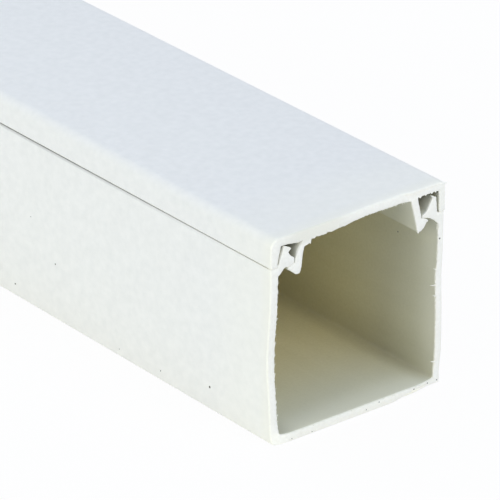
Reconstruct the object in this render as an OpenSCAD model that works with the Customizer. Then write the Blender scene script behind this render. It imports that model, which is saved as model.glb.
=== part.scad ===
// Square cable trunking: an open channel and the lid that snaps onto it, two extrusions of one length.
// X runs along the length, Y across it and Z up from the back of the channel to the top of the lid.

/* [Trunking] */
// Length of the stock
length = 2000; // [200:100:4000]
// Outside width
width = 40; // [30:1:100]
// Outside height with the lid on
height = 40; // [25:1:100]

/* [Channel] */
// Thickness of the side walls
wall_t = 1.6; // [1.2:0.1:2.4]
// Thickness of the floor
floor_t = 1.6; // [1.2:0.1:2.4]
// Radius of the two bottom edges
bottom_r = 0.4; // [0.2:0.1:1]
// Radius inside, where a wall meets the floor
inside_r = 0.5; // [0.3:0.1:2]
// Thickness of the neck that carries a snap lip
neck_t = 1.6; // [1.2:0.1:2]
// Thickness of a snap lip at its head
lip_head_t = 0.9; // [0.6:0.1:1.4]
// How far a lip's barb reaches in past its head
barb_reach = 2; // [1.4:0.1:2.6]
// Height of the blunt nose at the barb's tip
barb_nose_h = 0.3; // [0.2:0.1:0.6]
// Slope of the barb's underside, in degrees, which lets the lid be pulled off again
seat_slope = 18; // [5:1:25]

/* [Lid] */
// Thickness of the lid's plate
lid_t = 1.6; // [1:0.1:2.2]
// Radius of the lid's two long edges
lid_edge_r = 1.2; // [0.5:0.1:2.2]
// Depth of a skirt, from the top of the lid to its lower edge
skirt_h = 5.5; // [4.5:0.1:8]
// Thickness of a skirt at its root
skirt_root_t = 2.1; // [1.6:0.1:2.6]
// Thickness of a skirt at its lower edge
skirt_edge_t = 1.4; // [1:0.1:1.6]
// Thickness of a clip leg
leg_t = 1.5; // [1:0.1:2]
// How far a leg leans out over its length
leg_lean = 1; // [0.2:0.1:1.2]
// How far a leg's hook grips under the barb
hook_grip = 1.5; // [0.6:0.05:1.6]
// Depth of the leg's foot below the shoulder
foot_drop = 2.5; // [2.2:0.1:3.4]
// Height of the blunt nose at the hook's tip
hook_nose_h = 0.4; // [0.2:0.1:0.6]
// Thickness of the leg's foot
foot_t = 0.6; // [0.4:0.1:0.9]

/* [Fit] */
// Open seam between a skirt and the shoulder under it
seam_gap = 0.2; // [0.1:0.05:0.4]
// Gap between a lip and the skirt outside it
lip_gap = 0.25; // [0.1:0.05:0.4]
// Gap between the top of a lip and the lid's plate
head_gap = 0.4; // [0.2:0.05:0.8]
// Gap between a barb's tip and the leg beside it
leg_gap = 0.25; // [0.1:0.05:0.4]
// Gap between a barb and the hook that holds it
hook_gap = 0.15; // [0.1:0.05:0.3]

/* [Hidden] */

// Radius of the small edges that the extrusion die leaves
die_r = 0.15;
// Radius in the roots of the lips, skirts and legs
root_r = 0.25;
// Flats that draw one rounded corner
arc_steps = 6;

half_w = width / 2;

// Levels, from the top down
plate_z = height - lid_t;
lip_z = plate_z - head_gap;
skirt_z = height - skirt_h;
shoulder_z = skirt_z - seam_gap;
foot_z = shoulder_z - foot_drop;

// Insets from the outside of a wall
function skirt_inset(z) =
    skirt_edge_t + (skirt_root_t - skirt_edge_t) * (z - skirt_z) / (plate_z - skirt_z);
function lip_inset(z) = skirt_inset(z) + lip_gap;
head_inset = lip_inset(lip_z) + lip_head_t;
barb_inset = head_inset + barb_reach;
neck_inset = lip_inset(shoulder_z) + neck_t;
function leg_inset(z) =
    barb_inset + leg_gap + leg_lean * (z - shoulder_z) / (plate_z - shoulder_z);
nose_inset = barb_inset - hook_grip;

// Levels of the barb's sloping underside and of the hook that seats against it
function seat_z(inset) = shoulder_z - (barb_inset - inset) * tan(seat_slope);
function hook_z(inset) = seat_z(inset) - hook_gap;

// A corner of an outline on the +Y side: inset from the wall's outside, level and radius
function corner(inset, z, r) = [half_w - inset, z, r];

// The +Y half of the channel: round the bottom edge, up the wall, over the lip and down inside
channel_half = [
    corner(0, 0, bottom_r),
    corner(0, shoulder_z, die_r),
    corner(lip_inset(shoulder_z), shoulder_z, root_r),
    corner(lip_inset(lip_z), lip_z, root_r),
    corner(head_inset, lip_z, root_r),
    corner(barb_inset, shoulder_z + barb_nose_h, die_r),
    corner(barb_inset, shoulder_z, die_r),
    corner(neck_inset, seat_z(neck_inset), root_r),
    corner(wall_t, seat_z(neck_inset) - (neck_inset - wall_t), root_r),
    corner(wall_t, floor_t, inside_r),
];

// The +Y half of the lid: down the skirt, up inside it, and round the clip leg
lid_half = [
    corner(0, height, lid_edge_r),
    corner(0, skirt_z, die_r),
    corner(skirt_edge_t, skirt_z, die_r),
    corner(skirt_root_t, plate_z, root_r),
    corner(leg_inset(plate_z), plate_z, root_r),
    corner(leg_inset(shoulder_z), hook_z(leg_inset(shoulder_z)), die_r),
    corner(nose_inset, hook_z(nose_inset), die_r),
    corner(nose_inset, hook_z(nose_inset) - hook_nose_h, die_r),
    corner(leg_inset(foot_z) + leg_t - foot_t, foot_z, root_r),
    corner(leg_inset(foot_z) + leg_t, foot_z, root_r),
    corner(leg_inset(plate_z) + leg_t, plate_z, root_r),
];

// The points that round corner b between its neighbours a and c
function arc(a, b, c) =
    let (
        at = [b.x, b.y],
        back = [a.x, a.y] - at,
        on = [c.x, c.y] - at,
        p = back / norm(back),
        q = on / norm(on),
        half = acos(p * q) / 2,
        centre = at + (p + q) / norm(p + q) * b[2] / sin(half),
        first = at + p * b[2] / tan(half) - centre,
        turn = (180 - 2 * half) * sign(cross(q, p))
    )
    [for (i = [0 : arc_steps])
        let (t = turn * i / arc_steps)
        centre + [
            first.x * cos(t) - first.y * sin(t),
            first.x * sin(t) + first.y * cos(t)
        ]];

function rounded(path) =
    let (n = len(path))
    [for (i = [0 : n - 1]) each arc(path[(i + n - 1) % n], path[i], path[(i + 1) % n])];

// A half outline followed by its mirror image, back to the start
function both_sides(half) =
    concat(half, [for (i = [len(half) - 1 : -1 : 0]) [-half[i].x, half[i].y, half[i][2]]]);

module extrusion(half)
    rotate([90, 0, 90])
        linear_extrude(length, center = true)
            polygon(rounded(both_sides(half)));

module base_channel() { color("#EDEFEA") extrusion(channel_half); }

module clip_lid() { color("#F0F1EE") extrusion(lid_half); }

base_channel();
clip_lid();
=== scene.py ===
"""Square white PVC cable trunking, a channel with a snap-on lid, seen at its sawn end."""

import math
import random

import bmesh
import bpy
from mathutils import Matrix, Vector, noise


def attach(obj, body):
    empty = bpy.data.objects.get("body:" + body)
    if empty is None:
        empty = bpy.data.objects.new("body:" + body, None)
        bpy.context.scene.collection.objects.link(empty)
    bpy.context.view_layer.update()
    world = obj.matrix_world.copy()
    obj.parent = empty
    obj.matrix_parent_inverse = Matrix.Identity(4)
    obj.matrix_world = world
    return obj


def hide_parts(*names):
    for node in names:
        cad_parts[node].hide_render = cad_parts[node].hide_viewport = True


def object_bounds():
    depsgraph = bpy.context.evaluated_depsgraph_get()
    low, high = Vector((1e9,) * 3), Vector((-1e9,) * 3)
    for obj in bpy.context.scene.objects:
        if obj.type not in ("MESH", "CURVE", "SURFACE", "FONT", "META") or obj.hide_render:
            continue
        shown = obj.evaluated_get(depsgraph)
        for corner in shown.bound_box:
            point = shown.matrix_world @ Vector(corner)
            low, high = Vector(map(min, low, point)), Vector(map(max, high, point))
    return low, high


MM = 0.001

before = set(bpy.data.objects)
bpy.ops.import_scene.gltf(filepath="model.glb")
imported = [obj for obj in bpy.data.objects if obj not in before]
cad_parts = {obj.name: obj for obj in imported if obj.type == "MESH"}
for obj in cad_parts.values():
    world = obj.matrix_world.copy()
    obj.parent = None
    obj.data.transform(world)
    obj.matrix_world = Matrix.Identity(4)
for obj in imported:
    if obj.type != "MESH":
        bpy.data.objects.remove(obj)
cad_low, cad_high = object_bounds()

# How far from the middle the cuts are, in metres
CUT_X = cad_high.x
# The section, in millimetres: half its width, its height, and how thick its walls and floor are
HALF_W = cad_high.y / MM
HEIGHT = cad_high.z / MM
WALL_T = 1.6
FLOOR_T = 1.6
# How far from the middle the inner faces of the walls stand
IN_WALL = HALF_W - WALL_T
# Levels of a clip: the barb's root, the shoulder, the skirt's lower edge over it, the lip's top
# and the plate's underside
BARB_ROOT_Z = 33.5
SHOULDER_Z = 34.3
SKIRT_Z = 34.5
LIP_Z = 38.0
PLATE_Z = 38.4
# Places across a clip, from the middle out: the leg's root, where its inner face ends and its outer face
# starts, where the hook leaves it, the root and tip of the hook's nose, the lip's inner face and middle,
# where the skirt starts, and the lip's outer face
LEG_ROOT_Y = 12.9
LEG_INSIDE_Y = 13.1
LEG_OUTSIDE_Y = 13.5
HOOK_Y = 15.0
NOSE_ROOT_Y = 15.6
NOSE_TIP_Y = 16.3
LIP_INSIDE_Y = 16.6
LIP_MIDDLE_Y = 17.0
SKIRT_Y = 17.5
LIP_OUTSIDE_Y = 18.6
# Radius of the lid's long edges, and of its front one where hands have rubbed it
LID_EDGE_R = 1.2
RUBBED_EDGE_R = 2.0
# How the section differs from the drawn one at the back: how far the wall's foot is drawn in, how much
# thinner the floor is beside it, how high the clip stands, and how far its skirt stands off the lip
FOOT_DRAWN_IN = 0.5
FLOOR_THINNED = 0.3
CLIP_HIGH = 0.3
SKIRT_OFF = 0.1
# Index of refraction of rigid PVC
PVC_IOR = 1.53


# Shares and noise

def smooth(low, high, value):
    """0 up to low, 1 from high on, and an even slope between."""
    t = min(1.0, max(0.0, (value - low) / (high - low)))
    return t * t * (3 - 2 * t)


def window(value, rise, fall):
    """0 before the rise, 1 between the rise and the fall, and 0 after the fall."""
    return smooth(*rise, value) * (1 - smooth(*fall, value))


def bell(value, centre, width):
    """1 at the centre, falling away to both sides."""
    return math.exp(-((value - centre) / width) ** 2)


def ripple(y, z, size, seed):
    """Noise from about -1 to 1, in lumps of a size."""
    return noise.noise(Vector((y / size, z / size, seed)))


# Colours and shader nodes

def linear(code):
    """A hex colour, as it looks on screen, turned to the linear values that Blender's sockets take."""
    shares = [int(code[i:i + 2], 16) / 255 for i in (1, 3, 5)]
    return [s / 12.92 if s <= 0.04045 else ((s + 0.055) / 1.055) ** 2.4 for s in shares] + [1.0]


def add_node(tree, kind, settings=None, values=None, links=None):
    """Adds one node, with its own settings, its sockets' values and the outputs that feed its sockets."""
    node = tree.nodes.new(kind)
    for name, value in (settings or {}).items():
        setattr(node, name, value)
    for socket, value in (values or {}).items():
        node.inputs[socket].default_value = value
    for socket, source in (links or {}).items():
        tree.links.new(source, node.inputs[socket])
    return node


def new_material(name):
    material = bpy.data.materials.new(name)
    material.use_nodes = True
    material.node_tree.nodes.clear()
    return material, material.node_tree


# Materials

def die_finished_pvc():
    """Rigid white PVC where it ran through the polished die and the cooling sleeve.

    The eye gets a satin white with faint lines along the run, a cloudy bloom and no grain.
    """
    material, tree = new_material("rigid_pvc_die_finished")
    place = add_node(tree, "ShaderNodeTexCoord")
    # Die lines are 0.8 mm apart across the run and hold for a metre along it
    along = add_node(tree, "ShaderNodeVectorMath", {"operation": "MULTIPLY"},
                     {1: (1.0, 1 / (0.8 * MM), 1 / (0.8 * MM))}, {0: place.outputs["Object"]})
    lines = add_node(tree, "ShaderNodeTexNoise", {}, {"Scale": 1.0, "Detail": 2.0},
                     {"Vector": along.outputs["Vector"]})
    # Bloom clouds the skin in patches about 1.5 mm across
    bloom = add_node(tree, "ShaderNodeTexNoise", {}, {"Scale": 1 / (1.5 * MM), "Detail": 3.0},
                     {"Vector": place.outputs["Object"]})
    clean = add_node(tree, "ShaderNodeMix", {"data_type": "RGBA"},
                     {6: linear("#E6E5DE"), 7: linear("#F6F4ED")},
                     {0: bloom.outputs["Fac"]})
    # Painted light makes the last 20 mm before each cut lighter and warmer, and the saw whitened the last 4
    # mm
    axes = add_node(tree, "ShaderNodeSeparateXYZ", {}, {}, {0: place.outputs["Object"]})
    from_middle = add_node(tree, "ShaderNodeMath", {"operation": "ABSOLUTE"}, {}, {0: axes.outputs["X"]})
    painted_light_share = add_node(tree, "ShaderNodeMapRange", {"interpolation_type": "SMOOTHSTEP"},
                    {"From Min": CUT_X - 20 * MM, "From Max": CUT_X - 5 * MM, "To Max": 0.2},
                    {"Value": from_middle.outputs["Value"]})
    with_painted_light = add_node(tree, "ShaderNodeMix", {"data_type": "RGBA"}, {7: linear("#FCF9E4")},
                        {0: painted_light_share.outputs["Result"], 6: clean.outputs[2]})
    whitened = add_node(tree, "ShaderNodeMapRange", {"interpolation_type": "SMOOTHSTEP"},
                        {"From Min": CUT_X - 4 * MM, "From Max": CUT_X, "To Max": 0.45},
                        {"Value": from_middle.outputs["Value"]})
    sawn_white = add_node(tree, "ShaderNodeMix", {"data_type": "RGBA"}, {7: linear("#F4F1DE")},
                          {0: whitened.outputs["Result"], 6: with_painted_light.outputs[2]})
    # Painted shade darkens the seam and fades out 0.7 mm below it; it thins out over the last 70 mm before
    # each cut
    below = add_node(tree, "ShaderNodeMapRange", {"interpolation_type": "SMOOTHERSTEP"},
                     {"From Min": (SHOULDER_Z - 0.7) * MM, "From Max": (SHOULDER_Z + 0.05) * MM},
                     {"Value": axes.outputs["Z"]})
    over = add_node(tree, "ShaderNodeMapRange", {},
                    {"From Min": SKIRT_Z * MM, "From Max": (SKIRT_Z + 0.03) * MM,
                     "To Min": 1.0, "To Max": 0.0},
                    {"Value": axes.outputs["Z"]})
    shade_by_run = add_node(tree, "ShaderNodeMapRange", {"interpolation_type": "SMOOTHSTEP"},
                      {"From Min": CUT_X - 70 * MM, "From Max": CUT_X, "To Min": 0.35, "To Max": 0.0},
                      {"Value": from_middle.outputs["Value"]})
    in_seam = add_node(tree, "ShaderNodeMath", {"operation": "MULTIPLY"}, {},
                       {0: below.outputs["Result"], 1: over.outputs["Result"]})
    painted_shade = add_node(tree, "ShaderNodeMath", {"operation": "MULTIPLY"}, {},
                      {0: in_seam.outputs["Value"], 1: shade_by_run.outputs["Result"]})
    colour = add_node(tree, "ShaderNodeMix", {"data_type": "RGBA"}, {7: linear("#5C5C58")},
                      {0: painted_shade.outputs["Value"], 6: sawn_white.outputs[2]})
    # The skin is duller where the bloom is thick
    gloss = add_node(tree, "ShaderNodeMapRange", {},
                     {"From Min": 0.3, "From Max": 0.7, "To Min": 0.38, "To Max": 0.5},
                     {"Value": bloom.outputs["Fac"]})
    relief = add_node(tree, "ShaderNodeBump", {}, {"Strength": 0.2, "Distance": 0.02 * MM},
                      {"Height": lines.outputs["Fac"]})
    skin = add_node(tree, "ShaderNodeBsdfPrincipled", {}, {"IOR": PVC_IOR},
                    {"Base Color": colour.outputs[2], "Roughness": gloss.outputs["Result"],
                     "Normal": relief.outputs["Normal"]})
    add_node(tree, "ShaderNodeOutputMaterial", {}, {}, {"Surface": skin.outputs["BSDF"]})
    return material


def air_cooled_pvc_and_painted_shade():
    """The same PVC inside the section, where no sleeve touched it as it cooled.

    The eye gets a duller white with soft waves along the run, painted creamier and darker than the outside
    as painted shade.
    """
    material, tree = new_material("rigid_pvc_air_cooled_and_painted_shade")
    place = add_node(tree, "ShaderNodeTexCoord")
    # Waves are 3 mm apart across the run and 60 mm long
    along = add_node(tree, "ShaderNodeVectorMath", {"operation": "MULTIPLY"},
                     {1: (1 / (60 * MM), 1 / (3 * MM), 1 / (3 * MM))}, {0: place.outputs["Object"]})
    waves = add_node(tree, "ShaderNodeTexNoise", {}, {"Scale": 1.0, "Detail": 3.0},
                     {"Vector": along.outputs["Vector"]})
    # Fine orange peel, 0.5 mm across
    peel = add_node(tree, "ShaderNodeTexNoise", {}, {"Scale": 1 / (0.5 * MM), "Detail": 1.0},
                    {"Vector": place.outputs["Object"]})
    tint = add_node(tree, "ShaderNodeMix", {"data_type": "FLOAT"}, {0: 0.6},
                    {2: waves.outputs["Fac"], 3: peel.outputs["Fac"]})
    # Painted shade: the inside's white is creamier and darker than the outside's
    clean = add_node(tree, "ShaderNodeMix", {"data_type": "RGBA"},
                     {6: linear("#E1D9AC"), 7: linear("#F8F1CA")},
                     {0: tint.outputs[0]})
    # Painted light: inside each mouth the skin is greyer and cooler, most at the cut and gone 30 mm in,
    # where cool light falls
    axes = add_node(tree, "ShaderNodeSeparateXYZ", {}, {}, {0: place.outputs["Object"]})
    from_middle = add_node(tree, "ShaderNodeMath", {"operation": "ABSOLUTE"}, {}, {0: axes.outputs["X"]})
    painted_light_share = add_node(tree, "ShaderNodeMapRange", {"interpolation_type": "SMOOTHSTEP"},
                    {"From Min": CUT_X - 30 * MM, "From Max": CUT_X, "To Max": 0.55},
                    {"Value": from_middle.outputs["Value"]})
    with_painted_light = add_node(tree, "ShaderNodeMix", {"data_type": "RGBA"}, {7: linear("#C1C5BE")},
                        {0: painted_light_share.outputs["Result"], 6: clean.outputs[2]})
    # The saw whitened the last 7 mm
    whitened = add_node(tree, "ShaderNodeMapRange", {"interpolation_type": "SMOOTHSTEP"},
                        {"From Min": CUT_X - 7 * MM, "From Max": CUT_X, "To Max": 0.45},
                        {"Value": from_middle.outputs["Value"]})
    sawn_white = add_node(tree, "ShaderNodeMix", {"data_type": "RGBA"}, {7: linear("#F2F0DE")},
                          {0: whitened.outputs["Result"], 6: with_painted_light.outputs[2]})
    # Painted shade lies 5 mm wide along the two edges of the floor, by the walls, and thins out over 10 mm
    # up the walls
    corner_shade_width = 5
    steepness = corner_shade_width / 10
    corner = FLOOR_T * steepness - IN_WALL
    aside = add_node(tree, "ShaderNodeMath", {"operation": "ABSOLUTE"}, {}, {0: axes.outputs["Y"]})
    up = add_node(tree, "ShaderNodeMath", {"operation": "MULTIPLY"}, {1: steepness}, {0: axes.outputs["Z"]})
    away = add_node(tree, "ShaderNodeMath", {"operation": "SUBTRACT"}, {},
                    {0: up.outputs["Value"], 1: aside.outputs["Value"]})
    corner_shade = add_node(tree, "ShaderNodeMapRange", {"interpolation_type": "SMOOTHSTEP"},
                    {"From Min": corner * MM, "From Max": (corner + corner_shade_width) * MM,
                     "To Min": 0.3, "To Max": 0.0},
                    {"Value": away.outputs["Value"]})
    corner_shaded = add_node(tree, "ShaderNodeMix", {"data_type": "RGBA"}, {7: linear("#8F8A6C")},
                      {0: corner_shade.outputs["Result"], 6: sawn_white.outputs[2]})
    # Painted shade fills the closed clips, above the shoulder and outside the legs, where little light gets
    # in
    # It thins over the last 5 mm before each cut, but not over the lips
    above = add_node(tree, "ShaderNodeMapRange", {},
                     {"From Min": SHOULDER_Z * MM, "From Max": (SHOULDER_Z + 0.5) * MM},
                     {"Value": axes.outputs["Z"]})
    outside = add_node(tree, "ShaderNodeMapRange", {},
                       {"From Min": LEG_INSIDE_Y * MM, "From Max": LEG_OUTSIDE_Y * MM},
                       {"Value": aside.outputs["Value"]})
    in_clip = add_node(tree, "ShaderNodeMath", {"operation": "MULTIPLY"}, {},
                       {0: above.outputs["Result"], 1: outside.outputs["Result"]})
    shade_by_run = add_node(tree, "ShaderNodeMapRange", {"interpolation_type": "SMOOTHSTEP"},
                      {"From Min": CUT_X - 5 * MM, "From Max": CUT_X - 0.5 * MM,
                       "To Min": 0.85, "To Max": 0.0},
                      {"Value": from_middle.outputs["Value"]})
    over_lip = add_node(tree, "ShaderNodeMapRange", {},
                        {"From Min": (LIP_Z - 0.3) * MM, "From Max": (LIP_Z + 0.2) * MM, "To Max": 0.85},
                        {"Value": axes.outputs["Z"]})
    clip_shade_share = add_node(tree, "ShaderNodeMath", {"operation": "MAXIMUM"}, {},
                         {0: shade_by_run.outputs["Result"], 1: over_lip.outputs["Result"]})
    painted_shade = add_node(tree, "ShaderNodeMath", {"operation": "MULTIPLY"}, {},
                      {0: in_clip.outputs["Value"], 1: clip_shade_share.outputs["Value"]})
    colour = add_node(tree, "ShaderNodeMix", {"data_type": "RGBA"}, {7: linear("#66654A")},
                      {0: painted_shade.outputs["Value"], 6: corner_shaded.outputs[2]})
    relief = add_node(tree, "ShaderNodeBump", {}, {"Strength": 0.25, "Distance": 0.02 * MM},
                      {"Height": peel.outputs["Fac"]})
    skin = add_node(tree, "ShaderNodeBsdfPrincipled", {}, {"IOR": PVC_IOR, "Roughness": 0.55},
                    {"Base Color": colour.outputs[2], "Normal": relief.outputs["Normal"]})
    add_node(tree, "ShaderNodeOutputMaterial", {}, {}, {"Surface": skin.outputs["BSDF"]})
    return material


def sawn_pvc():
    """PVC cut with a fine saw, which crazes the face and leaves it chalky.

    The eye gets the whitest and most matt part of the object, with marks that run across it.
    """
    material, tree = new_material("rigid_pvc_sawn")
    place = add_node(tree, "ShaderNodeTexCoord")
    # Strokes leave marks about 2.5 mm apart that run across the section and wander a little
    # A wave repeats after 0.314 of its texture's own units
    turned = add_node(tree, "ShaderNodeMapping", {}, {"Rotation": (math.radians(12), 0, 0)},
                      {"Vector": place.outputs["Object"]})
    marks = add_node(tree, "ShaderNodeTexWave", {"bands_direction": "Z"},
                     {"Scale": 0.314 / (2.5133 * MM), "Distortion": 2.0, "Detail": 2.0},
                     {"Vector": turned.outputs["Vector"]})
    # Crumbs of the crazed face are 0.6 mm across
    crumbs = add_node(tree, "ShaderNodeTexNoise", {}, {"Scale": 1 / (0.6 * MM), "Detail": 4.0},
                      {"Vector": place.outputs["Object"]})
    rough = add_node(tree, "ShaderNodeMath", {"operation": "ADD"}, {},
                     {0: marks.outputs["Fac"], 1: crumbs.outputs["Fac"]})
    chalky = add_node(tree, "ShaderNodeMix", {"data_type": "RGBA"},
                      {6: linear("#F1EDDC"), 7: linear("#FFFDF0")},
                      {0: crumbs.outputs["Fac"]})
    # Painted shade: the lid's sawn face is darker on its plate, around 10 mm in front of the middle
    axes = add_node(tree, "ShaderNodeSeparateXYZ", {}, {}, {0: place.outputs["Object"]})
    beside = add_node(tree, "ShaderNodeMath", {"operation": "ADD"}, {1: 10 * MM}, {0: axes.outputs["Y"]})
    apart = add_node(tree, "ShaderNodeMath", {"operation": "ABSOLUTE"}, {}, {0: beside.outputs["Value"]})
    in_front = add_node(tree, "ShaderNodeMapRange", {},
                        {"From Min": 4 * MM, "From Max": 9 * MM, "To Min": 0.85, "To Max": 0.0},
                        {"Value": apart.outputs["Value"]})
    on_plate = add_node(tree, "ShaderNodeMapRange", {},
                        {"From Min": (PLATE_Z - 1.5) * MM, "From Max": (PLATE_Z - 0.5) * MM},
                        {"Value": axes.outputs["Z"]})
    plate_shade = add_node(tree, "ShaderNodeMath", {"operation": "MULTIPLY"}, {},
                           {0: in_front.outputs["Result"], 1: on_plate.outputs["Result"]})
    colour = add_node(tree, "ShaderNodeMix", {"data_type": "RGBA"}, {7: linear("#EBE8D6")},
                      {0: plate_shade.outputs["Value"], 6: chalky.outputs[2]})
    relief = add_node(tree, "ShaderNodeBump", {}, {"Strength": 0.4, "Distance": 0.04 * MM},
                      {"Height": rough.outputs["Value"]})
    face = add_node(tree, "ShaderNodeBsdfPrincipled", {}, {"IOR": PVC_IOR, "Roughness": 0.75},
                    {"Base Color": colour.outputs[2], "Normal": relief.outputs["Normal"]})
    add_node(tree, "ShaderNodeOutputMaterial", {}, {}, {"Surface": face.outputs["BSDF"]})
    return material


def charred_pvc():
    """Compound that scorched in the extruder and came out as grit in the skin.

    The eye gets small dark specks, brown rather than black.
    """
    material, tree = new_material("pvc_charred_grit")
    place = add_node(tree, "ShaderNodeTexCoord")
    # Each speck is darker in places, over 0.1 mm
    crust = add_node(tree, "ShaderNodeTexNoise", {}, {"Scale": 1 / (0.1 * MM), "Detail": 1.0},
                     {"Vector": place.outputs["Object"]})
    colour = add_node(tree, "ShaderNodeMix", {"data_type": "RGBA"},
                      {6: linear("#2C2820"), 7: linear("#544E42")},
                      {0: crust.outputs["Fac"]})
    skin = add_node(tree, "ShaderNodeBsdfPrincipled", {}, {"IOR": PVC_IOR, "Roughness": 0.6},
                    {"Base Color": colour.outputs[2]})
    add_node(tree, "ShaderNodeOutputMaterial", {}, {}, {"Surface": skin.outputs["BSDF"]})
    return material


OUTER, INNER, SAWN, GRIT = range(4)
finishes = [die_finished_pvc(), air_cooled_pvc_and_painted_shade(), sawn_pvc(), charred_pvc()]


# The section, taken from the frame

# Spacing of the points that let the channel's flat faces bend, in millimetres
BENT_STEP = 3.0


def outline(node):
    """The node's outline as (y, z) points, counter-clockwise seen from its near end."""
    mesh = bmesh.new()
    mesh.from_mesh(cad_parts[node].data)
    bmesh.ops.remove_doubles(mesh, verts=mesh.verts, dist=0.001 * MM)
    end = max(v.co.x for v in mesh.verts)
    on_end = [v for v in mesh.verts if v.co.x > end - 0.01 * MM]
    at_end = set(on_end)
    follows = {}
    for face in mesh.faces:
        if at_end.issuperset(face.verts):
            continue
        for loop in face.loops:
            a, b = loop.vert, loop.link_loop_next.vert
            if a in at_end and b in at_end:
                follows[b] = a
    start = on_end[0]
    points = [start]
    while follows[points[-1]] is not start:
        points.append(follows[points[-1]])
    result = [(v.co.y, v.co.z) for v in points]
    mesh.free()
    return result


def finer(points, step):
    """The outline with extra points on its long runs, and the places of its own points in it."""
    dense, own = [], []
    for i, (y0, z0) in enumerate(points):
        y1, z1 = points[(i + 1) % len(points)]
        parts = max(1, round(math.hypot(y1 - y0, z1 - z0) / step))
        own.append(len(dense))
        for k in range(parts):
            dense.append((y0 + (y1 - y0) * k / parts, z0 + (z1 - z0) * k / parts))
    return dense, own


def rubbed_in_front(points):
    """The lid's outline with the arc of its front edge rubbed to a wider one."""
    new_r, old_r = RUBBED_EDGE_R * MM, LID_EDGE_R * MM
    y0, z0 = -HALF_W * MM + old_r, HEIGHT * MM - old_r
    rubbed = []
    for y, z in points:
        if y < y0 + 0.01 * MM and z > z0 - 0.01 * MM:
            y = -HALF_W * MM + new_r + (y - y0) * new_r / old_r
            z = HEIGHT * MM - new_r + (z - z0) * new_r / old_r
        rubbed.append((y, z))
    return rubbed


def not_pressed_home(points):
    """The lid's outline as it sits: its back clip stands high, and its skirt there stands off the lip."""
    seated = []
    for y, z in points:
        high = CLIP_HIGH * smooth(11.5, 14, y / MM) * smooth(SKIRT_Z, PLATE_Z, z / MM)
        off = SKIRT_OFF * smooth(16.8, 17.6, y / MM)
        seated.append((y + off * MM, z + high * MM))
    return seated


def floor_sink(y):
    """How far, in millimetres, the top of the floor lies below its level next to the back wall."""
    return FLOOR_THINNED * smooth(10, 17, y)


def drawn_in_behind(points):
    """The channel's outline as it cooled: its back wall's foot drawn in, the floor thinner beside it."""
    cooled = []
    for y, z in finer(points, BENT_STEP * MM)[0]:
        drawn_in = FOOT_DRAWN_IN * smooth(15, 18, y / MM) * (1 - smooth(1, 6.5, z / MM))
        on_top = window(z / MM, (0.9, 1.4), (2, 5))
        cooled.append((y - drawn_in * MM, z - floor_sink(y / MM) * on_top * MM))
    return cooled


def out_of_material(points):
    """The direction, at each point of an outline, that leads out of the plastic."""
    count = len(points)
    result = []
    for i in range(count):
        (y0, z0), (y1, z1) = points[i - 1], points[(i + 1) % count]
        length = math.hypot(y1 - y0, z1 - z0)
        result.append(((z1 - z0) / length, (y0 - y1) / length))
    return result


# What the saw did to an end, in millimetres
# y runs across the section from left to right for someone who faces that end, and z runs up it
# out_y and out_z lead out of the plastic, and depth is how far behind the cut a point lies

# How far behind a cut each kind of mark is whole, and where it has faded out
BURRED = (0.0, 0.5)
SMEARED = (0.3, 1.4)
SWOLLEN = (0.5, 4.0)
PARED = (0.5, 6.0)
PUSHED = (1.0, 7.0)
# Up to this level the left lip and the skirt beside it are smeared together
SMEAR_TOP_Z = SHOULDER_Z + 0.6


def left_of(mark, depth):
    """The share of a mark that is left at a depth behind the cut."""
    return 1 - smooth(*mark, depth)


def facing(share, least=0.3):
    """1 where the skin mostly faces a way and 0 where it hardly does; share is that way's part of it."""
    return smooth(least, 0.7, share)


def chatter(y, z, seed):
    """How far the blade shook along the run."""
    return 0.02 * ripple(y, z, 0.6, seed)


def in_right_foot(y, z):
    """Whether a place is in the hook or foot of the lid's right leg."""
    return y > LEG_OUTSIDE_Y and z < SHOULDER_Z - 0.7


def seam_share(y):
    """The share of the smear in the seams: all on the left, and on the right the outer part only."""
    return 1 if y < -18 else smooth(LIP_OUTSIDE_Y, 19.2, y)


def hook_share(y):
    """The share of the smear between barb and hook: all on the left, and on the right near the leg only."""
    return 1 if y < 0 else 1 - smooth(15.2, NOSE_ROOT_Y, y)


def channel_stray(y, z, end):
    """How far the saw strayed along the run in the channel: out along the floor, back up the walls."""
    floor = 1.1 - 1.2 * smooth(11, 21, y)
    left_wall = -0.95 * bell(z, 15.5, 8.5)
    right_wall = -0.15 - 0.25 * bell(z, 21, 4) - 0.1 * bell(z, 1, 3)
    wall = left_wall + (right_wall - left_wall) * smooth(-6, 6, y)
    up_wall = smooth(17.5, 22.5, abs(y) + z)
    return floor + (wall - floor) * up_wall + chatter(y, z, 3 + end)


def lid_stray(y, z, end):
    """The same in the lid: back along the right half of its plate."""
    return -0.45 * window(y, (-5, 3), (10, 12.5)) + chatter(y, z, 5 + end)


def channel_pared(y, z, out_y, out_z, depth):
    """How far the saw pared the channel's right side, across and up."""
    dy = dz = 0.0
    # The wall is thinner from its middle up
    if y > LIP_MIDDLE_Y and out_y < -0.7 and z < SHOULDER_Z - 1:
        dy += 0.22 * smooth(22, 24, z) * left_of(PARED, depth)
    # The barb is cut back, from just over its tip up to the lip's head
    over_tip = SHOULDER_Z + 0.35
    if y > 0 and out_y < -0.3 and z > over_tip:
        on_barb = window(z, (over_tip, SHOULDER_Z + 1), (LIP_Z - 0.4, LIP_Z))
        dy += 0.65 * on_barb * left_of(PUSHED, depth)
    # The floor is thinner from below
    if z < 1:
        dz += 0.4 * facing(-out_z, 0.2) * window(y, (7, 10), (16, 19.5)) * left_of(PARED, depth)
    return dy, dz


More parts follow.
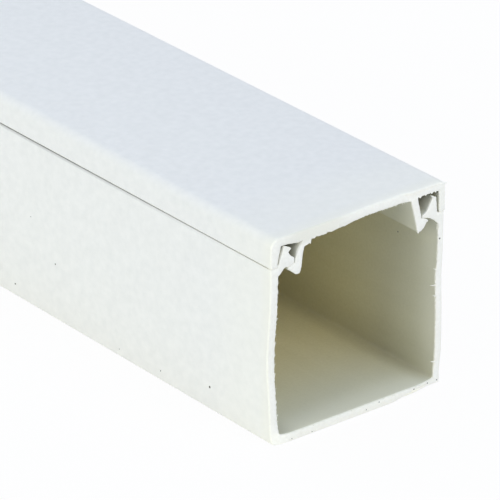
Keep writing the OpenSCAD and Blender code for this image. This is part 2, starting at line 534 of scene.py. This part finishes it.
def lips_pushed(y, z, out_y, out_z, depth):
    """How far the saw pushed the channel's lips over, across and up."""
    dy = dz = 0.0
    pushed = left_of(PUSHED, depth)
    # The left lip leans in, and its head stands high and ends in a beak
    lean_z = SHOULDER_Z + 0.4
    if -LIP_OUTSIDE_Y < y < -LIP_INSIDE_Y and z > lean_z:
        lean = 0.12 * smooth(lean_z, SHOULDER_Z + 0.8, z) + 0.33 * smooth(SHOULDER_Z + 1, LIP_Z, z)
        dy += lean * (1 - smooth(-17.75, -LIP_INSIDE_Y, y)) * pushed
    head_z = LIP_Z - 0.7
    if y < -15.5 and z > head_z:
        dz += 0.15 * smooth(head_z, LIP_Z - 0.2, z) * pushed
    if y < 0 and out_y > 0 and z > SHOULDER_Z + 1.5:
        dy += bell(z, LIP_Z - 0.6, 0.4) * left_of(BURRED, depth)
    # The left barb is swollen on top and cut away at its root
    if y < 0 and out_y > 0.3 and z > SHOULDER_Z:
        dz += 0.6 * bell(z, SHOULDER_Z + 0.4, 0.9) * smooth(SHOULDER_Z, SHOULDER_Z + 0.3, z) * pushed
        dy += 0.13 * bell(z, SHOULDER_Z + 0.3, 0.6) * pushed
    if -LIP_OUTSIDE_Y < y < -HOOK_Y and SHOULDER_Z - 2.8 < z < SHOULDER_Z + 0.1:
        dz += 0.42 * facing(-out_z, 0.2) * (1 - smooth(-16.7, -16, y)) * pushed
    # The right lip is pushed out, most at its head, which slopes down to its outer side
    if y > LIP_MIDDLE_Y and z > SHOULDER_Z:
        dy += 0.22 * facing(out_y) * smooth(SHOULDER_Z, LIP_Z, z) * pushed
    slope_z = LIP_Z - 0.6
    if y > LIP_INSIDE_Y and z > slope_z:
        dz -= 0.4 * smooth(LIP_MIDDLE_Y, 17.8, y) * smooth(slope_z, LIP_Z, z) * pushed
    return dy, dz


def channel_smeared(y, z, out_y, out_z, depth):
    """How far the saw smeared the channel towards the lid, across and up."""
    dy = dz = 0.0
    smeared = left_of(SMEARED, depth)
    # The shoulder is smeared up into the seam, and on the left the lip is smeared into the skirt
    if out_z > 0.5 and abs(z - SHOULDER_Z) < 0.4:
        dz += 0.09 * smeared * smooth(0.5, 1, out_z) * seam_share(y)
    if out_y < -0.7 and -18.8 < y < -SKIRT_Y and z < SMEAR_TOP_Z:
        low_down = 1 - smooth(SMEAR_TOP_Z - 0.2, SMEAR_TOP_Z, z)
        dy -= 0.1 * smeared * smooth(0.7, 1, -out_y) * low_down
    # The barb's underside is smeared onto the hook
    if out_z < -0.5 and BARB_ROOT_Z < z < SHOULDER_Z + 0.1 and abs(y) < LIP_MIDDLE_Y:
        dz -= 0.06 * smeared * hook_share(y)
    return dy, dz


def channel_burr(y, z, out_y, out_z, depth, end):
    """How far the cut edge of the channel is dragged, across and up: teeth of burr and all the rest."""
    inside = abs(y) < 19.5 and 0.5 < z < SHOULDER_Z - 2
    tooth = (0.25 if inside else 0.03) * ripple(y, z, 0.5, 11 + end) * left_of(BURRED, depth)
    dy, dz = out_y * tooth, out_z * tooth
    for mark in (channel_pared, lips_pushed, channel_smeared):
        across, up = mark(y, z, out_y, out_z, depth)
        dy += across
        dz += up
    return dy, dz


def plate_burr(y, z, out_z, depth, end):
    """How far burr hangs down from the lid's plate."""
    hang = 0.0
    by_plate = z > PLATE_Z - 0.3
    under_plate = out_z < -0.7 and by_plate
    # Between the legs it is deep and jagged on the left half and slight on the right
    if under_plate and abs(y) < 12:
        left_half = window(y, (-11.2, -10.9), (-10.5, 3.5))
        jag = 0.12 + 0.2 * left_half
        hang += 0.5 * left_half + jag * (0.3 + ripple(y, z, 0.5, 23 + end))
    # A flap of it fills the root of the left leg
    flap_z = PLATE_Z - 1.6 + 0.25 * smooth(-12.6, -11.4, y)
    if -12.8 < y < -10.9 and flap_z < z < PLATE_Z + 0.1:
        hang += z - flap_z
    # The roof of the left groove sags, most beside the leg
    if -LIP_MIDDLE_Y < y < -LEG_ROOT_Y and by_plate:
        hang += 0.55 * facing(-out_z) * smooth(-17.3, -12.5, y)
    # Teeth of it hang from the roof of the right groove, clear of the lip that slides below them
    if under_plate and 13.6 < y < 17.8:
        hang += min(0.3, 1.2 * max(0.0, ripple(y, z, 0.4, 29 + end)))
    return hang * left_of(BURRED, depth)


def legs_pushed(y, z, out_y, out_z, depth):
    """How far the saw swelled, pared and shortened the lid's clip legs, across and up."""
    dy = dz = 0.0
    pushed = left_of(PUSHED, depth)
    # The left leg is swollen above its foot, and its hook is thinned from below
    if -14.3 < y < -12.2 and z < PLATE_Z - 2:
        dy += 0.28 * max(0.0, out_y) * bell(z, 33, 1.4) * left_of(SWOLLEN, depth)
    if y < -13 and z < SHOULDER_Z - 0.6:
        dz += (0.32 - 0.2 * smooth(-NOSE_TIP_Y, -14.3, y)) * facing(-out_z) * pushed
    # It is pared from outside at its root, and smeared towards the barb's tip
    root_z = SHOULDER_Z + 2
    if -14.6 < y < -LEG_ROOT_Y and z > root_z:
        dy += 0.5 * facing(-out_y) * smooth(root_z, PLATE_Z - 0.3, z) * pushed
    if -HOOK_Y < y < -LEG_OUTSIDE_Y and out_y < -0.7:
        dy -= 0.08 * bell(z, SHOULDER_Z + 0.5, 0.5) * pushed
    # Both hooks are short, and the right one is hollow under its nose and swollen at its foot
    if abs(y) > HOOK_Y and z < SHOULDER_Z:
        dy += (0.2 if y < 0 else -0.28) * smooth(NOSE_ROOT_Y, NOSE_TIP_Y, abs(y)) * pushed
    if in_right_foot(y, z):
        hollow = 0.22 * bell(z, 32.95, 0.35) - 0.12 * bell(z, 32.1, 0.3)
        hollow *= facing(-out_z) * pushed
        dy -= out_y * hollow
        dz -= out_z * hollow
    return dy, dz


def skirts_pushed(y, z, out_y, out_z, depth):
    """How far the saw pared and dragged the lid's skirts, across and up."""
    dy = dz = 0.0
    pushed = left_of(PUSHED, depth)
    # The right skirt is pared thinner from inside, most at its root, and the left one is thicker there
    if y > SKIRT_Y and z > SKIRT_Z + 0.1:
        dy += 0.5 * facing(-out_y) * smooth(SKIRT_Z - 0.5, PLATE_Z, z) * pushed
    if y < -SKIRT_Y and out_y > 0.7:
        dy += 0.12 * smooth(SHOULDER_Z + 1.7, LIP_Z, z) * pushed
    # The rounded top right corner is dragged out into a flake
    if y > LIP_MIDDLE_Y and z > PLATE_Z - 1:
        flake = (2 * max(0.0, out_y) * max(0.0, out_z)) ** 6 * left_of(BURRED, depth)
        dy += 0.85 * flake
        dz -= 0.05 * flake
    return dy, dz


def lid_smeared(y, z, out_y, out_z, depth):
    """How far the saw smeared the lid towards the channel, across and up."""
    dy = dz = 0.0
    smeared = left_of(SMEARED, depth)
    # The skirt's lower edge is smeared into the seam, and on the left its inside is smeared onto the lip
    if out_z < -0.5 and SKIRT_Z - 0.1 < z < SKIRT_Z + 0.3:
        dz -= 0.06 * smeared * seam_share(y)
    if out_y > 0.7 and y < -SKIRT_Y and z < SMEAR_TOP_Z:
        dy += 0.1 * smeared
    # The hook's top is smeared onto the barb
    if out_z > 0.5 and z < SHOULDER_Z and abs(y) > LEG_OUTSIDE_Y:
        dz += 0.06 * smeared * hook_share(y)
    return dy, dz


def lid_burr(y, z, out_y, out_z, depth, end):
    """How far the cut edge of the lid is dragged, across and up: teeth of burr and all the rest."""
    torn = in_right_foot(y, z) and y < NOSE_ROOT_Y
    tooth = (0.3 if torn else 0.06) * ripple(y, z, 0.35, 17 + end) * left_of(BURRED, depth)
    dy, dz = out_y * tooth, out_z * tooth - plate_burr(y, z, out_z, depth, end)
    for mark in (legs_pushed, skirts_pushed, lid_smeared):
        across, up = mark(y, z, out_y, out_z, depth)
        dy += across
        dz += up
    return dy, dz


def worn_left(z, out_y):
    """The share of wear on skin that faces left in the upper half of a clip."""
    return smooth(0.3, 0.8, -out_y) * smooth(35, 37, z)


def channel_round(y, z, out_y, out_z):
    """How far back along the run, and how far in, the cut edge of the channel is worn round."""
    outside = smooth(19.3, 19.8, abs(y)) * abs(out_y)
    floor = smooth(0.5, 0.9, out_z) * (1 - smooth(1.9, 2.4, z))
    lip = worn_left(z, out_y) if -18.5 < y < -16 else 0.0
    back = 0.1 + 0.5 * outside + 0.6 * floor + 0.8 * lip
    inward = 0.08 + 0.17 * outside + 0.17 * floor + 0.14 * lip
    return back, inward


def lid_round(y, z, out_y, out_z):
    """The same for the lid: worn most on the right half of its top, and on its left leg near the plate."""
    top = smooth(39, 39.3, z) * max(0.0, out_z) * (0.5 + 0.5 * smooth(-6, 4, y))
    outside = smooth(19.2, 19.8, abs(y)) * abs(out_y)
    leg = worn_left(z, out_y) if -HOOK_Y < y < -13 else 0.0
    back = 0.1 + 1.4 * top + 0.5 * outside + 1.2 * leg
    inward = 0.08 + 0.27 * top + 0.17 * outside + 0.4 * leg
    return back, inward


# The two extrusions

# Spacing of the fine outline's points, and depths of its rings behind a cut, in millimetres
FINE_STEP = 0.2
RING_DEPTHS = [8.0, 4.0, 2.4, 1.5, 1.1, 0.8, 0.55, 0.35, 0.2, 0.1, 0.04, 0.0]
# Depths behind a cut: where its stray dies out, how far the sawn finish wraps round its edge,
# and where plain rings start
STRAY_DEPTH = 8.0
SAWN_DEPTH = 0.4
PLAIN_DEPTH = 20.0
# Spans between plain rings, along the run
PLAIN_SPANS = 19
# Edges that turn by more than this, in degrees, stay sharp
SHARP_ANGLE = 35
# Specks scattered over each outer face, and how far from the far end they start, in millimetres
SPECKS_A_FACE = 24
SPECKS_FROM = 5.0


def end_x(end):
    return cad_high.x if end > 0 else cad_low.x


def on_cut(y, z, end, stray):
    """The point of a cut face at y and z, given in millimetres as someone who faces that end sees them."""
    return Vector((end_x(end) + end * stray(y, z, end) * MM, y * end * MM, z * MM))


def add_extrusion(mesh, coarse, stray, burr, worn):
    """Adds one extrusion with its sawn ends: fine rings behind each cut, plain rings between them."""
    dense, own = finer(coarse, FINE_STEP * MM)
    outward = out_of_material(dense)
    half_w = max(abs(y) for y, z in dense)

    def cut_ring(end, depth):
        verts = []
        for (y, z), (ny, nz) in zip(dense, outward):
            seen_y, seen_z, out_y = y * end / MM, z / MM, ny * end
            dx = stray(seen_y, seen_z, end) * (1 - smooth(0, STRAY_DEPTH, depth))
            dy, dz = burr(seen_y, seen_z, out_y, nz, depth, end)
            back, inward = worn(seen_y, seen_z, out_y, nz)
            if depth < back:
                shrink = inward * (1 - math.sqrt(1 - (1 - depth / back) ** 2))
                dy -= out_y * shrink
                dz -= nz * shrink
            x = end_x(end) - end * (depth - dx) * MM
            verts.append(mesh.verts.new((x, y + end * dy * MM, z + dz * MM)))
        return verts

    def finish_of(corners):
        y = sum(v.co.y for v in corners) / len(corners)
        z = sum(v.co.z for v in corners) / len(corners)
        within = abs(y) < half_w - MM and cad_low.z + MM < z < cad_high.z - MM
        return INNER if within else OUTER

    def add_wall(corners, finish=None):
        face = mesh.faces.new(corners)
        face.material_index = finish_of(corners[:2]) if finish is None else finish
        face.smooth = True

    def join(lower, upper, finish=None):
        for i in range(len(lower)):
            k = (i + 1) % len(lower)
            add_wall((lower[i], lower[k], upper[k], upper[i]), finish)

    def join_fine_to_plain(fine, plain, end):
        for i, first in enumerate(own):
            last = own[(i + 1) % len(own)]
            if last <= first:
                last += len(dense)
            run = [fine[k % len(dense)] for k in range(first, last + 1)]
            pair = [plain[i], plain[(i + 1) % len(own)]]
            add_wall(pair + run[::-1] if end > 0 else run + pair[::-1])

    def cap(rim, end):
        edges = [mesh.edges.get((rim[i - 1], rim[i])) for i in range(len(rim))]
        filled = bmesh.ops.triangle_fill(mesh, use_beauty=True, edges=edges, normal=(end, 0, 0))
        for face in [g for g in filled["geom"] if isinstance(g, bmesh.types.BMFace)]:
            face.material_index = SAWN
            face.smooth = False
            face.normal_update()
            if face.normal.x * end < 0:
                face.normal_flip()

    first, last = end_x(-1) + PLAIN_DEPTH * MM, end_x(1) - PLAIN_DEPTH * MM
    plain_rings = []
    for k in range(PLAIN_SPANS + 1):
        x = first + (last - first) * k / PLAIN_SPANS
        plain_rings.append([mesh.verts.new((x, y, z)) for y, z in coarse])
    far_rings = [cut_ring(-1, depth) for depth in RING_DEPTHS]
    near_rings = [cut_ring(1, depth) for depth in RING_DEPTHS]
    finishes_back = [SAWN if depth < SAWN_DEPTH else None for depth in RING_DEPTHS]
    for lower, upper, finish in zip(far_rings[1:], far_rings, finishes_back):
        join(lower, upper, finish)
    join_fine_to_plain(far_rings[0], plain_rings[0], -1)
    for lower, upper in zip(plain_rings, plain_rings[1:]):
        join(lower, upper)
    join_fine_to_plain(near_rings[0], plain_rings[-1], 1)
    for lower, upper, finish in zip(near_rings, near_rings[1:], finishes_back):
        join(lower, upper, finish)
    cap(near_rings[-1], 1)
    cap(far_rings[-1], -1)


def add_strand(mesh, root, way, length, width, curl):
    """Adds a strand of swarf that still hangs from a cut edge: a thin spike whose tip curls up."""
    steps, sides = 4, 5
    tip_share = 0.25
    across = Vector((1, 0, 0))
    over = way.cross(across).normalized()
    rings = []
    for k in range(steps + 1):
        t = k / steps
        centre = root + way * (length * t) + Vector((0, 0, curl * t * t))
        r = width / 2 * (1 - (1 - tip_share) * t)
        rings.append([mesh.verts.new(centre + (across * math.cos(a) + over * math.sin(a)) * r)
                      for a in [2 * math.pi * s / sides for s in range(sides)]])
    faces = [mesh.faces.new(rings[0]), mesh.faces.new(rings[-1][::-1])]
    for lower, upper in zip(rings, rings[1:]):
        for s in range(sides):
            n = (s + 1) % sides
            faces.append(mesh.faces.new((lower[n], lower[s], upper[s], upper[n])))
    for face in faces:
        face.material_index = SAWN


def add_speck(mesh, centre, normal, diameter):
    """Adds a speck of grit: a flat lens, half sunk in the skin."""
    height = 0.05 * MM
    turn = normal.to_track_quat("Z", "Y").to_matrix().to_4x4()
    shape = Matrix.Diagonal((diameter / 2, diameter / 2, height, 1))
    made = bmesh.ops.create_icosphere(mesh, subdivisions=1, radius=1.0,
                                      matrix=Matrix.Translation(centre) @ turn @ shape)
    for face in {f for v in made["verts"] for f in v.link_faces}:
        face.material_index = GRIT
        face.smooth = True


def add_fuzz(mesh, chance, count, end, stray, place_of, way):
    """Adds short strands at random along one cut edge; place_of turns a share of the edge into y and z."""
    for _ in range(count):
        y, z = place_of(chance.random())
        length = chance.uniform(0.1, 0.4) * MM
        lean = Vector((0, way[0] * end, way[1])) + Vector((0.3, 0.4, 0.4)) * chance.uniform(-1, 1)
        add_strand(mesh, on_cut(y, z, end, stray), lean.normalized(), length,
                   chance.uniform(0.08, 0.18) * MM, 0.0)


def speck_x(chance, clear):
    """A random place along the run, outside a length next to the near end that stays clear."""
    return chance.uniform(end_x(-1) + SPECKS_FROM * MM, end_x(1) - clear * MM)


def make_piece(name, mesh, node, body):
    data = bpy.data.meshes.new(name)
    mesh.to_mesh(data)
    mesh.free()
    for finish in finishes:
        data.materials.append(finish)
    data.set_sharp_from_angle(angle=math.radians(SHARP_ANGLE))
    piece = bpy.data.objects.new(name, data)
    bpy.context.scene.collection.objects.link(piece)
    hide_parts(node)
    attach(piece, body)


def channel_fuzz(mesh, chance, end):
    """Adds the short strands along the inner edges of one end of the channel: right, left and floor."""
    foot, top = 3, 32

    def up_right_wall(share):
        return IN_WALL, foot + (top - foot) * share

    def up_left_wall(share):
        return -IN_WALL, foot + (top - foot) * share

    def along_floor(share):
        y = IN_WALL * (2 * share - 1)
        return y, FLOOR_T - 0.2 - floor_sink(y * end)

    add_fuzz(mesh, chance, 26, end, channel_stray, up_right_wall, (-1, 0))
    add_fuzz(mesh, chance, 22, end, channel_stray, up_left_wall, (1, 0))
    add_fuzz(mesh, chance, 14, end, channel_stray, along_floor, (0, 1))


def channel_extrusion():
    mesh = bmesh.new()
    section = drawn_in_behind(outline("base_channel"))
    add_extrusion(mesh, section, channel_stray, channel_burr, channel_round)
    chance = random.Random(11)
    front, back, near = Vector((0, -1, 0)), Vector((0, 1, 0)), Vector((1, 0, 0))
    # Long strands on the right wall of the near end: height, length, width and curl
    for z, length, width, curl in ((19.8, 1.4, 0.3, 0.3), (17.6, 0.9, 0.28, 0.5),
                                   (22.9, 0.7, 0.24, 0.4), (4.4, 1.1, 0.4, 0.3)):
        root = on_cut(IN_WALL + 0.1, z, 1, channel_stray)
        add_strand(mesh, root, front, length * MM, width * MM, curl * MM)
    for end in (1, -1):
        channel_fuzz(mesh, chance, end)
    # Specks on the front near the cut end: distance from it, height and diameter
    for run, z, size in ((17.5, 4.5, 0.55), (64.0, 11.5, 0.38), (77.0, 2.5, 0.42), (32.0, 2.0, 0.32),
                         (44.5, 1.5, 0.22), (71.5, 18.5, 0.22)):
        add_speck(mesh, Vector((end_x(1) - run * MM, -HALF_W * MM, z * MM)), front, size * MM)
    # One on the right wall inside, and some on the sawn face: across, height and diameter
    add_speck(mesh, Vector((end_x(1) - 11 * MM, IN_WALL * MM, 26.5 * MM)), front, 0.3 * MM)
    for y, z, size in ((19.0, 29.0, 0.4), (12.5, 1.1, 0.3), (16.2, 0.95, 0.24), (18.8, 0.6, 0.3),
                       (-16.0, 0.4, 0.2), (-11.4, 0.3, 0.22), (1.2, 0.6, 0.22), (4.2, 1.2, 0.25)):
        add_speck(mesh, on_cut(y, z, 1, channel_stray), near, size * MM)
    # Others at random along the rest of the run, front and back
    for way in (front, back):
        for _ in range(SPECKS_A_FACE):
            x = speck_x(chance, 120)
            centre = Vector((x, way.y * HALF_W * MM, chance.uniform(1, SHOULDER_Z - 1) * MM))
            add_speck(mesh, centre, way, chance.uniform(0.15, 0.4) * MM)
    make_piece("channel_extrusion", mesh, "base_channel", "channel")


def lid_extrusion():
    mesh = bmesh.new()
    section = not_pressed_home(rubbed_in_front(outline("clip_lid")))
    add_extrusion(mesh, section, lid_stray, lid_burr, lid_round)
    chance = random.Random(23)
    # Short strands hang from the right half of the plate
    for end in (1, -1):
        add_fuzz(mesh, chance, 14, end, lid_stray, lambda share: (1 + 10 * share, PLATE_Z), (0, -1))
    # Specks at random on top, which is clean near the cut end
    for _ in range(SPECKS_A_FACE):
        x = speck_x(chance, 150)
        y = chance.uniform(1 - HALF_W, HALF_W - 1)
        centre = Vector((x, y * MM, HEIGHT * MM))
        add_speck(mesh, centre, Vector((0, 0, 1)), chance.uniform(0.12, 0.3) * MM)
    make_piece("lid_extrusion", mesh, "clip_lid", "lid")


channel_extrusion()
lid_extrusion()


# Studio

# The middle of the near end's foot, which the lamps face and the camera is placed from
near_end = Vector((cad_high.x, (cad_low.y + cad_high.y) / 2, cad_low.z))
# Half the floor's width, in metres, and its gap under the object, in millimetres
FLOOR_REACH = 150.0
FLOOR_GAP = 0.05
# Lamps stand so far off, in metres, that the whole run and a lid drawn out of it get the same light
LAMP_DISTANCE = 30.0
LAMP_SIZE = 21.6
# The camera's direction in degrees, its lens, and how far it is from the near end, in millimetres:
# backwards, to the left and up
CAMERA_AZIMUTH = 51.46
CAMERA_ELEVATION = 25.57
CAMERA_LENS = 342.8
CAMERA_BACK = 857.0
CAMERA_LEFT = 19.3
CAMERA_UP = 29.24


def way_from_end(azimuth, elevation):
    """The way to a lamp or the camera. Azimuth 0 is in front, at -Y, and 90 is off the end, at +X."""
    a, e = math.radians(azimuth), math.radians(elevation)
    return Vector((math.sin(a) * math.cos(e), -math.cos(a) * math.cos(e), math.sin(e)))


def seen_directly(tree):
    """1 for a ray that shows the stage to the eye, straight or mirrored, and 0 for one that lights."""
    path = add_node(tree, "ShaderNodeLightPath")
    mirrored = add_node(tree, "ShaderNodeMath", {"operation": "MAXIMUM"}, {},
                        {0: path.outputs["Is Glossy Ray"], 1: path.outputs["Is Transmission Ray"]})
    return add_node(tree, "ShaderNodeMath", {"operation": "MAXIMUM"}, {},
                    {0: path.outputs["Is Camera Ray"], 1: mirrored.outputs["Value"]})


def studio_floor():
    """A sheet of white paper that lights the object as paper does and shows almost as pure white."""
    data = bpy.data.meshes.new("studio_floor")
    level = cad_low.z - FLOOR_GAP * MM
    signs = ((-1, -1), (1, -1), (1, 1), (-1, 1))
    data.from_pydata([(x * FLOOR_REACH, y * FLOOR_REACH, level) for x, y in signs], [], [(0, 1, 2, 3)])
    floor = bpy.data.objects.new("studio_floor", data)
    bpy.context.scene.collection.objects.link(floor)
    material, tree = new_material("white_paper_sweep")
    shown = seen_directly(tree)
    share = add_node(tree, "ShaderNodeMath", {"operation": "MULTIPLY"}, {1: 0.95},
                     {0: shown.outputs["Value"]})
    paper = add_node(tree, "ShaderNodeBsdfDiffuse", {}, {"Color": linear("#F4F4F4")})
    glow = add_node(tree, "ShaderNodeEmission", {}, {"Color": linear("#FFFFFF"), "Strength": 1.0})
    both = add_node(tree, "ShaderNodeMixShader", {}, {},
                    {0: share.outputs["Value"], 1: paper.outputs["BSDF"], 2: glow.outputs["Emission"]})
    add_node(tree, "ShaderNodeOutputMaterial", {}, {}, {"Surface": both.outputs["Shader"]})
    data.materials.append(material)


def studio_world():
    """A bluish fill that shows as pure white."""
    world = bpy.data.worlds.new("studio_world")
    world.use_nodes = True
    bpy.context.scene.world = world
    tree = world.node_tree
    tree.nodes.clear()
    shown = seen_directly(tree)
    fill = add_node(tree, "ShaderNodeBackground", {}, {"Color": linear("#DDE7FF"), "Strength": 0.64})
    white = add_node(tree, "ShaderNodeBackground", {}, {"Color": linear("#FFFFFF"), "Strength": 1.0})
    both = add_node(tree, "ShaderNodeMixShader", {}, {},
                    {0: shown.outputs["Value"], 1: fill.outputs["Background"],
                     2: white.outputs["Background"]})
    add_node(tree, "ShaderNodeOutputWorld", {}, {}, {"Surface": both.outputs["Shader"]})


def soft_box(name, azimuth, elevation, power, colour):
    """A square lamp that faces the near end."""
    lamp = bpy.data.lights.new(name, "AREA")
    lamp.shape = "SQUARE"
    lamp.size = LAMP_SIZE
    lamp.energy = power
    lamp.color = linear(colour)[:3]
    holder = bpy.data.objects.new(name, lamp)
    way = way_from_end(azimuth, elevation)
    holder.location = near_end + way * LAMP_DISTANCE
    holder.rotation_euler = way.to_track_quat("Z", "Y").to_euler()
    bpy.context.scene.collection.objects.link(holder)


def photo_camera():
    """The camera at the photograph's angle, with the near end's foot set where the photograph has it."""
    back = way_from_end(CAMERA_AZIMUTH, CAMERA_ELEVATION)
    right = way_from_end(CAMERA_AZIMUTH + 90, 0)
    up = back.cross(right)
    data = bpy.data.cameras.new("photo_camera")
    data.sensor_width = 36
    data.lens = CAMERA_LENS
    data.clip_start = 0.05
    data.clip_end = 500
    camera = bpy.data.objects.new("photo_camera", data)
    camera.matrix_world = Matrix((right, up, back)).transposed().to_4x4()
    camera.location = near_end + (back * CAMERA_BACK - right * CAMERA_LEFT + up * CAMERA_UP) * MM
    bpy.context.scene.collection.objects.link(camera)
    bpy.context.scene.camera = camera


studio_floor()
studio_world()
soft_box("front_soft_box", 0, 15, 3950, "#FFFFE7")
soft_box("end_soft_box", 92, 30, 2880, "#FFF8F2")
soft_box("back_soft_box", 130, 65, 2050, "#CBE5FF")
photo_camera()
bpy.context.scene.view_settings.view_transform = "Standard"
